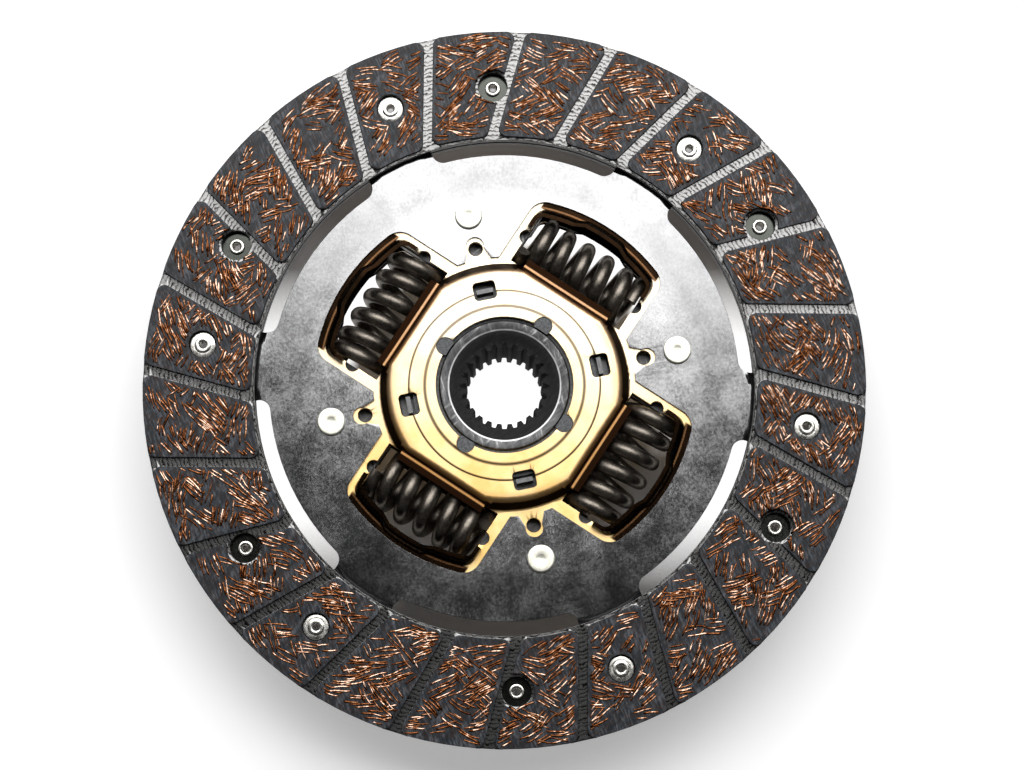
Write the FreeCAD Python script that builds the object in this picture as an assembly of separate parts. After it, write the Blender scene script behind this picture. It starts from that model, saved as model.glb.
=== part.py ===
# Clutch disc with a sprung hub, in millimetres.
# The axis is Z, the origin lies on it at the hub's rear end, and +Z points out of the dome side.
# Radii run outwards in one chain, from the spline to the facings: each is the last one and a step.
import FreeCAD, Part
import math
import os

# Hub
hub_nose = 9.7
spline_teeth = 24
spline_minor_r = 11.4
spline_depth = 1.4
spline_tip_half = 0.62
spline_root_half = 1.02
countersink_step = 3.5
countersink_depth = 2.6
hub_face_width = 3.2
hub_rear_step = 2.0
hub_face_chamfer = 0.4
flange_mid_z = 23.5
flange_thickness = 4.5
turn_limit_deg = 8.0

# Side plates
side_plate_thickness = 2.0
side_plate_gap = 9.0
side_plate_rim = 5.55
small_hole_r = 2.15
first_window_deg = 56.8
window_count = 4
window_foot = 0.9
window_lap = 0.7
hood_room = 4.9
hood_draw = 1.9
hood_height = 3.0
hood_wall = 1.3
hood_sill = 0.3
hood_reach = 2.5
hood_swell = 1.2
hood_swell_half = 6.0
hood_swell_run = 3.5
rear_hood_height = 1.4
rear_hood_draw = 0.7
hood_root = 0.2
hood_knee = 0.45
hood_knee_lean = 0.35
hood_lap = 2.0
hood_corner_r = 3.6
relief_hole_r = 2.1
relief_hole_step = 2.9
lip_end = 4.5
lip_stand = 1.3
lip_thickness = 1.0
lip_reach = 2.8
lip_root = 1.0
dome_foot_step = 4.2
dome_draw = 2.8
dome_flat_draw = 2.0
dome_height = 3.6
dome_wall = 1.8
dome_round = 2.4
dome_foot_round = 0.9
crease_r_step = 4.7
crease_rise = 0.2
collar_width = 3.3
collar_height = 0.6
collar_wall = 0.7
rear_dome_height = 2.6
front_bore_gap = 0.9
bore_lobe_r = 2.7
bore_lobe_step = 0.6
tang_hole_step = 5.2
tang_hole_length = 6.7
tang_hole_width = 5.5
tang_hole_corner_r = 1.2

# Springs
spring_outer_r = 9.6
spring_wire = 4.6
spring_length = 38.2
spring_turns = 5.9
spring_closed_pitch = 4.62
spring_half_turn_deg = 180.0
spring_sides = 8
spring_steps_per_turn = 12
spring_end_gap = 0.2
spring_clearance = 0.3

# Stop pins
pin_circle_step = 10.75
pin_r = 4.5
pin_tenon_r = 3.0
pin_head_r = 4.1
pin_head_height = 1.2
pin_dimple_r = 1.1
pin_dimple_depth = 0.5
arm_end_step = 3.8
arm_notch_corner_r = 3.15

# Friction pack
washer_thickness = 1.5
washer_inner_step = 1.5
washer_edge_step = 0.4
thrust_plate_thickness = 1.2
thrust_plate_edge = 2.5
tang_width = 5.0
tang_thickness = 1.3
tang_sink = 0.6
wave_washer_thickness = 0.5
wave_washer_step = 0.2
wave_count = 4
bush_flange_step = 3.7
bush_flange_thickness = 1.6
rear_bush_wall = 2.0
rear_sleeve_stand = 0.6
running_clearance = 0.05
assembly_clearance = 0.05

# Disc plate with its cushion paddles
sheet_thickness = 0.9
cushion_height = 1.3
notch_step = 8.1
rim_step = 2.4
joggle_run = 1.8
joggle_wall = 0.35
joggle_lap = 4.0
paddle_lap = 2.0
notch_corner_r = 3.4
land_deg = 16.0
land_first_deg = 55.25
paddle_edge_step = 2.0
paddle_gap_deg = 4.0
paddle_shift_deg = -9.0
paddle_wave_slope = 6.0
window_margin = 3.4
plate_window_step = 0.7
plate_window_corner = 5.5
small_hole_step = 0.5
tongue_notch_r = 2.6
tongue_notch_step = 0.9
tongue_mouth_flare = 1.6
tongue_end_step = 3.4

# Friction facings
facing_gap = 1.9
facing_width = 33.1
facing_thickness = 3.5
facing_stand = 3.2
pad_height = 1.1
pad_inset = 0.9
pad_corner_r = 2.4
groove_count = 24
groove_width = 2.8
groove_tangent_r = 23.8
groove_start_deg = -0.5

# Facing rivets
rivet_pairs = 6
rivet_inset = 0.25
front_rivet_deg = 52.25
rear_rivet_deg = 32.25
rivet_head_r = 3.85
rivet_head_height = 1.0
rivet_shank_r = 1.75
rivet_bore_r = 0.95
rivet_funnel = 1.15
rivet_edge = 0.25
rivet_curl_r = 2.3
rivet_curl_height = 0.9
rivet_web = 1.2
counterbore_r = 4.15
clearance_hole_r = 4.4
pad_relief = 0.9

# Radii that follow, outwards from the spline
spline_major_r = spline_minor_r + spline_depth
countersink_r = spline_major_r + countersink_step
hub_front_r = countersink_r + hub_face_width
hub_rear_r = hub_front_r - hub_rear_step
front_bore_r = hub_front_r + front_bore_gap
bore_lobe_circle_r = front_bore_r + bore_lobe_step
collar_r = front_bore_r + collar_width
collar_seat_r = collar_r - collar_wall
crease_r = collar_r + crease_r_step
washer_inner_r = hub_front_r + washer_inner_step
bush_flange_r = collar_r + bush_flange_step
wave_washer_inner_r = washer_inner_r + wave_washer_step
wave_washer_outer_r = bush_flange_r + wave_washer_step
tang_hole_circle_r = collar_r + tang_hole_step
thrust_plate_r = tang_hole_circle_r + thrust_plate_edge
washer_outer_r = thrust_plate_r - washer_edge_step
dome_flat_top = thrust_plate_r + spring_end_gap + spring_clearance
dome_flat = dome_flat_top + dome_flat_draw
window_inner = dome_flat - window_foot
dome_foot_r = window_inner + dome_foot_step
spring_circle_r = window_inner + spring_outer_r - window_lap
window_half = spring_length / 2 + spring_end_gap
lip_half = window_half - lip_end
small_hole_circle_r = spring_circle_r + small_hole_step
tongue_tip_r = small_hole_circle_r - tongue_end_step
hood_start = spring_circle_r + hood_reach
hood_base_r = spring_circle_r + spring_outer_r + hood_room
plate_window_r = hood_base_r + plate_window_step
pin_circle_r = spring_circle_r + pin_circle_step
arm_outer_r = pin_circle_r + arm_end_step
side_plate_r = arm_outer_r + side_plate_rim
notch_r = side_plate_r + notch_step
plate_rim_r = notch_r + rim_step
facing_inner_r = plate_rim_r + facing_gap
facing_outer_r = facing_inner_r + facing_width
paddle_inner_r = facing_inner_r + paddle_edge_step
paddle_outer_r = facing_outer_r - paddle_edge_step
rivet_circle_r = facing_inner_r + facing_width / 2 - rivet_inset

# Heights that follow from the sizes above
hub_length = flange_mid_z + hub_nose
plate_inner_z = flange_mid_z + side_plate_gap / 2
plate_outer_z = plate_inner_z + side_plate_thickness
rear_inner_z = flange_mid_z - side_plate_gap / 2
rear_outer_z = rear_inner_z - side_plate_thickness
flange_top_z = flange_mid_z + flange_thickness / 2
flange_bottom_z = flange_mid_z - flange_thickness / 2
disc_plate_top_z = plate_outer_z + sheet_thickness
facing_front_z = plate_outer_z + facing_stand
cushion_mid_z = facing_front_z - facing_thickness - cushion_height / 2
dome_top_z = plate_outer_z + dome_height
dome_inner_z = dome_top_z - side_plate_thickness
window_pitch_deg = 360.0 / window_count
pin_first_deg = first_window_deg - window_pitch_deg / 2
over = 1.0

Vec = FreeCAD.Vector
AXIS = Vec(0, 0, 1)
CENTRE = Vec(0, 0, 0)


def turned(shape, degrees):
    """A copy of a shape, turned about the disc's axis."""
    copy = shape.copy()
    copy.rotate(CENTRE, AXIS, degrees)
    return copy


def around(shape, count, first_deg):
    """Copies of a shape, evenly spaced about the disc's axis."""
    return [turned(shape, first_deg + 360.0 * k / count) for k in range(count)]


def cylinder(radius, low, high, x=0.0, y=0.0):
    """An upright cylinder between two heights."""
    return Part.makeCylinder(radius, high - low, Vec(x, y, low))


def ring(outer, inner, low, high):
    """An upright tube between two heights."""
    return cylinder(outer, low, high).cut(cylinder(inner, low - over, high + over))


def block(x0, x1, y0, y1, z0, z1):
    """A box from its low and high corners."""
    return Part.makeBox(x1 - x0, y1 - y0, z1 - z0, Vec(x0, y0, z0))


def revolved(points):
    """A solid of revolution about Z, from radius and height pairs."""
    corners = [Vec(r, 0, z) for r, z in points]
    return Part.Face(Part.makePolygon(corners + corners[:1])).revolve(CENTRE, AXIS, 360)


def one_solid(shape):
    """The single solid inside a boolean result, with its split faces joined."""
    clean = shape.removeSplitter()
    return clean.Solids[0] if len(clean.Solids) == 1 else clean


def arc(start, through, end):
    """An arc edge through three points."""
    return Part.Arc(start, through, end).toShape()


def polar(radius, angle, z):
    """A point at a radius and an angle."""
    return Vec(radius * math.cos(angle), radius * math.sin(angle), z)


def window_wire(half, inner, outer_r, corner, z, swell=0.0):
    """A window's outline: a straight inner edge, two parallel ends, and an outer arc about the axis.

    The window lies along +X, and its outer corners are rounded. With a swell, the middle of the outer
    arc stands that much further out than its sides.
    """
    side_r = outer_r - swell
    centre_y = half - corner
    centre_x = math.sqrt((side_r - corner) ** 2 - centre_y ** 2)
    lean = math.atan2(centre_y, centre_x)
    mid = (math.pi / 2 + lean) / 2
    points = {}
    for side in (1, -1):
        points[side] = [
            Vec(inner, side * half, z),
            Vec(centre_x, side * half, z),
            Vec(centre_x + corner * math.cos(mid), side * (centre_y + corner * math.sin(mid)), z),
            polar(side_r, side * lean, z),
        ]
    right, left = points[1], points[-1]
    edges = [
        Part.makeLine(left[0], right[0]),
        Part.makeLine(right[0], right[1]),
        arc(right[1], right[2], right[3]),
    ]
    if swell:
        top = hood_swell_half / outer_r
        foot = (hood_swell_half + hood_swell_run) / outer_r
        between = (lean + foot) / 2
        edges += [
            arc(right[3], polar(side_r, between, z), polar(side_r, foot, z)),
            Part.makeLine(polar(side_r, foot, z), polar(outer_r, top, z)),
            arc(polar(outer_r, top, z), Vec(outer_r, 0, z), polar(outer_r, -top, z)),
            Part.makeLine(polar(outer_r, -top, z), polar(side_r, -foot, z)),
            arc(polar(side_r, -foot, z), polar(side_r, -between, z), left[3]),
        ]
    else:
        edges.append(arc(right[3], Vec(outer_r, 0, z), left[3]))
    edges += [
        arc(left[3], left[2], left[1]),
        Part.makeLine(left[1], left[0]),
    ]
    return Part.Wire(edges)


def window_prism(half, inner, outer_r, corner, low, high):
    """The window outline raised into a solid."""
    return Part.Face(window_wire(half, inner, outer_r, corner, low)).extrude(Vec(0, 0, high - low))


def facing():
    """One friction facing in its own frame: back face at z 0, pads facing up, on the front side."""
    floor_z = facing_thickness - pad_height
    body = ring(facing_outer_r, facing_inner_r, 0, floor_z)
    pad_ring = ring(facing_outer_r, facing_inner_r + pad_inset, floor_z, facing_thickness)
    groove = block(
        facing_inner_r / 2,
        facing_outer_r + over,
        groove_tangent_r - groove_width / 2,
        groove_tangent_r + groove_width / 2,
        floor_z - over,
        facing_thickness + over,
    )
    pitch = 360.0 / groove_count
    pieces = pad_ring.cut([turned(groove, 0), turned(groove, pitch)]).Solids
    pad = min(pieces, key=lambda piece: piece.Volume)
    corners = [edge for edge in pad.Edges if edge.BoundBox.XLength + edge.BoundBox.YLength < 1e-6]
    pad = pad.makeFillet(pad_corner_r, corners)
    body = body.fuse(around(pad, groove_count, groove_start_deg))

    cutters = []
    for k in range(rivet_pairs):
        front = math.radians(front_rivet_deg + 360.0 * k / rivet_pairs)
        rear = math.radians(rear_rivet_deg + 360.0 * k / rivet_pairs)
        x, y = rivet_circle_r * math.cos(front), rivet_circle_r * math.sin(front)
        cutters.append(cylinder(counterbore_r, rivet_web, facing_thickness + over, x, y))
        cutters.append(cylinder(rivet_shank_r + assembly_clearance, -over, rivet_web + over, x, y))
        x, y = rivet_circle_r * math.cos(rear), rivet_circle_r * math.sin(rear)
        cutters.append(cylinder(clearance_hole_r, -over, facing_thickness + over, x, y))
        cutters.append(cylinder(clearance_hole_r + pad_relief, floor_z, facing_thickness + over, x, y))
    return one_solid(body.cut(cutters))


def facing_rivet():
    """A tubular rivet in the facing's frame: head on the web, rolled end under the paddle."""
    head_z = rivet_web + rivet_head_height
    curl_top = -sheet_thickness
    curl_bottom = curl_top - rivet_curl_height
    return revolved([
        (rivet_bore_r, head_z - rivet_edge * 1.5),
        (rivet_bore_r + rivet_funnel, head_z),
        (rivet_head_r - rivet_edge, head_z),
        (rivet_head_r, head_z - rivet_edge),
        (rivet_head_r, rivet_web),
        (rivet_shank_r, rivet_web),
        (rivet_shank_r, curl_top),
        (rivet_curl_r, curl_top),
        (rivet_curl_r - 2 * rivet_edge, curl_bottom),
        (rivet_bore_r, curl_bottom + 2 * rivet_edge),
    ])


def turned_over(shape):
    """A shape turned half a turn about the line that swaps front and rear rivets."""
    copy = shape.copy()
    lean = math.radians((front_rivet_deg + rear_rivet_deg) / 2)
    copy.rotate(Vec(0, 0, cushion_mid_z), Vec(math.cos(lean), math.sin(lean), 0), 180)
    return copy


def at_front(shape):
    """A shape lifted from the facing's own frame to the front facing's place."""
    copy = shape.copy()
    copy.translate(Vec(0, 0, facing_front_z - facing_thickness))
    return copy


def facing_rivets():
    """The six rivets that hold the front facing."""
    rivet = facing_rivet()
    rivet.translate(Vec(rivet_circle_r, 0, 0))
    return at_front(Part.makeCompound(around(rivet, rivet_pairs, front_rivet_deg)))


def sector(inner, outer, low, high, half_deg):
    """A piece of a tube, centred on +X."""
    profile = Part.Face(Part.makePolygon([
        Vec(inner, 0, low), Vec(outer, 0, low), Vec(outer, 0, high), Vec(inner, 0, high), Vec(inner, 0, low)
    ]))
    profile.rotate(CENTRE, AXIS, -half_deg)
    return profile.revolve(CENTRE, AXIS, 2 * half_deg)


def paddle():
    """One cushion paddle, centred on +X: a sector pressed into two levels with a slope between.

    The level on the front rivet's side touches the front facing, and the other touches the rear one.
    """
    half_deg = 180.0 / rivet_pairs - paddle_gap_deg / 2
    blank = sector(paddle_inner_r, paddle_outer_r, cushion_mid_z - over, cushion_mid_z + over, half_deg)
    corners = [e for e in blank.Edges if e.BoundBox.XLength + e.BoundBox.YLength < 1e-6]
    blank = blank.makeFillet(notch_corner_r, corners)
    middle_deg = (front_rivet_deg + rear_rivet_deg) / 2 - land_first_deg - paddle_shift_deg
    middle = Vec(0, rivet_circle_r * math.sin(math.radians(middle_deg)), 0)
    upper = cushion_mid_z + cushion_height / 2
    lower = cushion_mid_z - cushion_height / 2
    reach = facing_outer_r
    half_slope = paddle_wave_slope / 2
    section = [
        (middle.y - half_slope, lower),
        (middle.y + half_slope, upper - sheet_thickness),
        (reach, upper - sheet_thickness),
        (reach, upper),
        (middle.y + half_slope, upper),
        (middle.y - half_slope, lower + sheet_thickness),
        (-reach, lower + sheet_thickness),
        (-reach, lower),
    ]
    wave = Part.Face(Part.makePolygon([Vec(0, y, z) for y, z in section + section[:1]]))
    wave = wave.extrude(Vec(facing_outer_r, 0, 0))
    holes = []
    for angle, radius in ((front_rivet_deg, rivet_shank_r), (rear_rivet_deg, rivet_shank_r)):
        turn = math.radians(angle - land_first_deg - paddle_shift_deg)
        x, y = rivet_circle_r * math.cos(turn), rivet_circle_r * math.sin(turn)
        size = radius + assembly_clearance
        holes.append(cylinder(size, cushion_mid_z - over, cushion_mid_z + over, x, y))
    return blank.common(wave).cut(holes)


def land_ring():
    """A ring that steps down from the plate to the paddles, with six notches that leave the lands."""
    top = disc_plate_top_z
    bottom = plate_outer_z
    low = cushion_mid_z - sheet_thickness / 2
    high = cushion_mid_z + sheet_thickness / 2
    knee = plate_rim_r + joggle_run
    points = [
        (notch_r - joggle_lap, bottom),
        (plate_rim_r - joggle_wall / 2, bottom),
        (knee - joggle_wall / 2, low),
        (paddle_inner_r + paddle_lap, low),
        (paddle_inner_r + paddle_lap, high),
        (knee + joggle_wall / 2, high),
        (plate_rim_r + joggle_wall / 2, top),
        (notch_r - joggle_lap, top),
    ]
    pitch = 360.0 / rivet_pairs
    half_deg = (pitch - land_deg) / 2
    notch = sector(notch_r, paddle_inner_r + paddle_lap + over, low - over, top + over, half_deg)
    corners = [
        e for e in notch.Edges
        if e.BoundBox.XLength + e.BoundBox.YLength < 1e-6
        and math.hypot(e.Vertexes[0].X, e.Vertexes[0].Y) < notch_r + over
    ]
    notch = notch.makeFillet(notch_corner_r, corners)
    return revolved(points).cut(around(notch, rivet_pairs, land_first_deg + pitch / 2))


def tongue_notch():
    """The rounded notch in a tongue's tip, centred on +X, that opens towards the axis."""
    low, high = plate_outer_z - over, disc_plate_top_z + over
    mouth = tongue_notch_r + tongue_mouth_flare
    bottom = cylinder(tongue_notch_r, low, high, small_hole_circle_r + tongue_notch_step)
    side = math.sqrt(tongue_notch_r ** 2 - tongue_notch_step ** 2)
    wedge = Part.Face(Part.makePolygon([
        Vec(tongue_tip_r - over, -mouth, low),
        Vec(small_hole_circle_r, -side, low),
        Vec(small_hole_circle_r, side, low),
        Vec(tongue_tip_r - over, mouth, low),
        Vec(tongue_tip_r - over, -mouth, low),
    ])).extrude(Vec(0, 0, high - low))
    return bottom.fuse(wedge)


def disc_plate():
    """The grey sheet plate: four tongues inside, six lands and paddles outside, made of one sheet."""
    low, high = plate_outer_z, disc_plate_top_z
    plate = cylinder(notch_r, low, high).cut(cylinder(tongue_tip_r, low - over, high + over))
    window = window_prism(
        window_half + window_margin, 0, plate_window_r, plate_window_corner, low - over, high + over
    )
    cutters = around(window, window_count, first_window_deg)
    cutters += around(tongue_notch(), window_count, pin_first_deg)
    tenon_hole = cylinder(pin_tenon_r + assembly_clearance, low - over, high + over, pin_circle_r)
    cutters += around(tenon_hole, window_count, pin_first_deg)
    plate = plate.cut(cutters)
    turned_paddle = turned(paddle(), paddle_shift_deg)
    return one_solid(plate.fuse([land_ring()] + around(turned_paddle, rivet_pairs, land_first_deg)))


def hood(rise, draw):
    """The pressed hood round a window's outer edge, in the front plate's place, centred on +X."""
    heights = [
        (plate_inner_z + hood_root, 0.0),
        (plate_outer_z + rise * hood_knee, hood_knee_lean),
        (plate_outer_z + rise, 1.0),
    ]
    levels = []
    for inset in (0.0, hood_wall):
        wires = []
        for z, lean in heights:
            wires.append(window_wire(
                window_half + hood_wall - inset + hood_sill * (1 - lean),
                spring_circle_r - hood_lap,
                hood_base_r - inset - draw * lean,
                hood_corner_r - inset,
                z,
                hood_swell,
            ))
        levels.append(wires)
    outer = Part.makeLoft(levels[0], True, True)
    inner = Part.makeLoft(levels[1], True, True)
    return outer, inner


def dome_block(base_z, rise, inset, rounding):
    """A pressed dome: a cone frustum with a flat beside each window, and a rounded top edge."""
    slope = dome_draw / dome_height
    flat_slope = dome_flat_draw / dome_height
    base_r = dome_foot_r - inset
    base_flat = dome_flat - inset
    top_z = base_z + rise
    cone = Part.makeCone(base_r, base_r - slope * rise, rise, Vec(0, 0, base_z))
    if rounding:
        rims = [e for e in cone.Edges if e.BoundBox.ZMin > top_z - rounding * 0.1]
        cone = cone.makeFillet(rounding, rims)
    half_top = base_flat - flat_slope * rise
    reach = base_r + over
    section = [(-base_flat, base_z), (base_flat, base_z), (half_top, top_z), (-half_top, top_z)]
    for turn in (0, 90):
        prism = Part.Face(Part.makePolygon([Vec(x, -reach, z) for x, z in section + section[:1]]))
        prism = prism.extrude(Vec(0, 2 * reach, 0))
        if rounding:
            ridges = [
                e for e in prism.Edges
                if e.BoundBox.ZMin > top_z - rounding * 0.1 and e.BoundBox.YLength > reach
            ]
            prism = prism.makeFillet(rounding, ridges)
        cone = cone.common(turned(prism, first_window_deg + turn))
    return cone


def side_plate_blank(dome_rise, bore_r, hood_rise, draw):
    """A side plate in the front plate's place: flat rim, dome, windows, hoods, lips and pin holes.

    A lip stands out over each spring from the dome's flat side.
    """
    low, high = plate_inner_z, plate_outer_z
    plate = cylinder(side_plate_r, low, high)
    rounding = dome_round * min(1.0, dome_rise / dome_height)
    dome = dome_block(high, dome_rise, 0, rounding)
    hollow = dome_block(low, dome_rise, dome_wall, 0)
    opening_r = hood_base_r - hood_swell - hood_wall - hood_sill
    opening_corner = hood_corner_r - hood_wall
    window = window_prism(window_half, window_inner, opening_r, opening_corner, low - over, high + over)
    outer, inner = hood(hood_rise, draw)
    keep = block(hood_start, side_plate_r, -side_plate_r, side_plate_r, low, high + hood_rise + over)
    shell = outer.common(keep)
    lip_low = high + lip_stand
    lip = block(
        window_inner - lip_root, window_inner + lip_reach, -lip_half, lip_half, lip_low, lip_low + lip_thickness
    )
    plate = plate.fuse(dome)
    foot = [
        e for e in plate.Edges
        if e.BoundBox.ZMin > high - 0.01 and e.BoundBox.ZMax < high + 0.01
        and math.hypot(e.Vertexes[0].X, e.Vertexes[0].Y) < dome_foot_r + dome_foot_round
    ]
    plate = plate.makeFillet(dome_foot_round, foot)
    plate = plate.fuse(around(shell, window_count, first_window_deg))
    plate = plate.fuse(around(lip, window_count, first_window_deg))
    relief = cylinder(relief_hole_r, low - over, high + over, hood_start - relief_hole_step)
    reliefs = []
    for side in (1, -1):
        hole = relief.copy()
        hole.translate(Vec(0, side * window_half, 0))
        reliefs.append(hole)
    cutters = [hollow, cylinder(bore_r, low - over, high + dome_rise + over)]
    cutters += around(window, window_count, first_window_deg)
    cutters += around(inner, window_count, first_window_deg)
    for hole in reliefs:
        cutters += around(hole, window_count, first_window_deg)
    tenon_hole = cylinder(pin_tenon_r + assembly_clearance, low - over, high + over, pin_circle_r)
    cutters += around(tenon_hole, window_count, pin_first_deg)
    small_hole = cylinder(small_hole_r, low - over, high + over, small_hole_circle_r)
    cutters += around(small_hole, window_count, pin_first_deg)
    return plate.cut(cutters)


def front_retainer():
    """The gold side plate on the visible side, with its collar, lobed bore and tang holes."""
    plate = side_plate_blank(dome_height, front_bore_r, hood_height, hood_draw)
    collar = ring(collar_r, front_bore_r, dome_top_z - over, dome_top_z + collar_height)
    crease = Part.makeCone(crease_r + crease_rise, crease_r, crease_rise, Vec(0, 0, dome_top_z))
    plate = plate.fuse([collar, crease.cut(cylinder(front_bore_r, dome_top_z - over, dome_top_z + over))])
    step = cylinder(collar_seat_r, dome_inner_z - over, dome_inner_z + collar_height)
    lobe = cylinder(bore_lobe_r, dome_inner_z - over, dome_top_z + 2 * over, bore_lobe_circle_r)
    tang_hole = block(
        tang_hole_circle_r - tang_hole_width / 2,
        tang_hole_circle_r + tang_hole_width / 2,
        -tang_hole_length / 2,
        tang_hole_length / 2,
        dome_inner_z - over,
        dome_top_z + over,
    )
    corners = [e for e in tang_hole.Edges if e.BoundBox.XLength + e.BoundBox.YLength < 1e-6]
    tang_hole = tang_hole.makeFillet(tang_hole_corner_r, corners)
    cutters = [step]
    cutters += around(lobe, window_count, first_window_deg)
    cutters += around(tang_hole, window_count, pin_first_deg)
    return one_solid(plate.cut(cutters))


def rear_retainer():
    """The side plate on the far side, with a shallow dome and low hoods, facing down."""
    bore_r = hub_rear_r + running_clearance + rear_bush_wall
    plate = one_solid(side_plate_blank(rear_dome_height, bore_r, rear_hood_height, rear_hood_draw))
    return plate.mirror(Vec(0, 0, flange_mid_z), AXIS)


def spline_cutter(low, high):
    """The toothed space inside the hub: straight-flanked teeth between two radii."""
    space = cylinder(spline_minor_r, low, high)
    reach = math.sqrt(spline_major_r ** 2 - spline_tip_half ** 2)
    start = spline_minor_r - over
    gap = Part.Face(Part.makePolygon([
        Vec(start, -spline_root_half, low),
        Vec(reach, -spline_tip_half, low),
        Vec(reach, spline_tip_half, low),
        Vec(start, spline_root_half, low),
        Vec(start, -spline_root_half, low),
    ])).extrude(Vec(0, 0, high - low))
    return space.fuse(around(gap, spline_teeth, 0))


def hub():
    """The splined hub with its four-armed flange."""
    rise = hub_face_chamfer
    body = revolved([
        (0, 0),
        (hub_rear_r - rise, 0),
        (hub_rear_r, rise),
        (hub_rear_r, flange_bottom_z),
        (arm_outer_r, flange_bottom_z),
        (arm_outer_r, flange_top_z),
        (hub_front_r, flange_top_z),
        (hub_front_r, hub_length - rise),
        (hub_front_r - rise, hub_length),
        (0, hub_length),
    ])
    low, high = flange_bottom_z - over, flange_top_z + over
    slot = block(
        spring_circle_r - spring_outer_r - spring_clearance,
        arm_outer_r + over,
        -window_half,
        window_half,
        low,
        high,
    )
    corners = [
        e for e in slot.Edges
        if e.BoundBox.XLength + e.BoundBox.YLength < 1e-6 and e.CenterOfMass.x < spring_circle_r
    ]
    slot = slot.makeFillet(spring_clearance * 5, corners)
    swing = pin_circle_r * math.sin(math.radians(turn_limit_deg))
    notch_half = pin_r + swing
    notch_bottom = pin_circle_r - pin_r - spring_clearance * 3
    notch = block(notch_bottom, arm_outer_r + over, -notch_half, notch_half, low, high)
    corners = [
        e for e in notch.Edges
        if e.BoundBox.XLength + e.BoundBox.YLength < 1e-6 and e.CenterOfMass.x < pin_circle_r
    ]
    notch = notch.makeFillet(arm_notch_corner_r, corners)
    cutters = around(slot, window_count, first_window_deg)
    cutters += around(notch, window_count, pin_first_deg)
    cutters.append(spline_cutter(-over, hub_length + over))
    cutters.append(Part.makeCone(
        spline_major_r, countersink_r, countersink_depth, Vec(0, 0, hub_length - countersink_depth)
    ))
    lead = spline_major_r + rise
    cutters.append(Part.makeCone(lead, spline_major_r - rise, 2 * rise, CENTRE))
    return one_solid(body.cut(cutters))


def stop_pin():
    """A stop pin on +X: a thick middle between the plates, and a headed tenon at each end."""
    front_head = disc_plate_top_z
    rear_head = rear_outer_z
    edge = 0.3
    pin = revolved([
        (0, rear_head - pin_head_height),
        (pin_head_r - edge, rear_head - pin_head_height),
        (pin_head_r, rear_head - pin_head_height + edge),
        (pin_head_r, rear_head),
        (pin_tenon_r, rear_head),
        (pin_tenon_r, rear_inner_z),
        (pin_r, rear_inner_z),
        (pin_r, plate_inner_z),
        (pin_tenon_r, plate_inner_z),
        (pin_tenon_r, front_head),
        (pin_head_r, front_head),
        (pin_head_r, front_head + pin_head_height - edge),
        (pin_head_r - edge, front_head + pin_head_height),
        (pin_dimple_r, front_head + pin_head_height),
        (0, front_head + pin_head_height - pin_dimple_depth),
    ])
    pin.translate(Vec(pin_circle_r, 0, 0))
    return pin


def damper_spring(first_deg):
    """A closed and ground coil spring, lying across +X, with a many-sided wire.

    The wire's centre follows a helix whose pitch is small over the first and last turn.
    What would stand past the ground ends is pressed flat onto them. The helix starts at the given
    angle from the top.
    """
    wire_r = spring_wire / 2
    coil_r = spring_outer_r - wire_r
    steps = int(round(spring_turns * spring_steps_per_turn))
    start = -spring_length / 2 + wire_r / 2
    open_turns = spring_turns - 2
    open_pitch = (spring_length - wire_r - 2 * spring_closed_pitch) / open_turns
    first_angle = math.radians(first_deg)
    points = []
    for step in range(steps + 1):
        turns = spring_turns * step / steps
        along = start + spring_closed_pitch * min(turns, 1.0)
        along += open_pitch * min(max(turns - 1.0, 0.0), open_turns)
        along += spring_closed_pitch * max(turns - 1.0 - open_turns, 0.0)
        angle = first_angle + 2 * math.pi * turns
        for side in range(spring_sides):
            around_wire = 2 * math.pi * (side + 0.5) / spring_sides
            radius = coil_r + wire_r * math.cos(around_wire)
            y = along + wire_r * math.sin(around_wire)
            y = max(-spring_length / 2, min(spring_length / 2, y))
            x = spring_circle_r + radius * math.sin(angle)
            points.append(Vec(x, y, flange_mid_z + radius * math.cos(angle)))
    facets = []
    for step in range(steps):
        for side in range(spring_sides):
            a = step * spring_sides + side
            b = step * spring_sides + (side + 1) % spring_sides
            c, d = a + spring_sides, b + spring_sides
            facets.append((a, b, d))
            facets.append((a, d, c))
    last = steps * spring_sides
    for side in range(1, spring_sides - 1):
        facets.append((0, side + 1, side))
        facets.append((last, last + side, last + side + 1))
    shell = Part.Shape()
    shell.makeShapeFromMesh((points, facets), 0.001)
    solid = Part.makeSolid(shell)
    if solid.Volume < 0:
        solid.reverse()
    return solid


def friction_washer(low):
    """A flat friction ring."""
    return ring(washer_outer_r, washer_inner_r, low, low + washer_thickness)


def thrust_plate():
    """The steel ring under the dome, with four tangs that stand up in the plate's holes."""
    low = flange_top_z + running_clearance + washer_thickness
    high = low + thrust_plate_thickness
    body = ring(thrust_plate_r, washer_inner_r, low, high)
    tang = block(
        tang_hole_circle_r - tang_thickness / 2,
        tang_hole_circle_r + tang_thickness / 2,
        -tang_width / 2,
        tang_width / 2,
        low,
        dome_top_z - tang_sink,
    )
    return one_solid(body.fuse(around(tang, window_count, pin_first_deg)))


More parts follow.
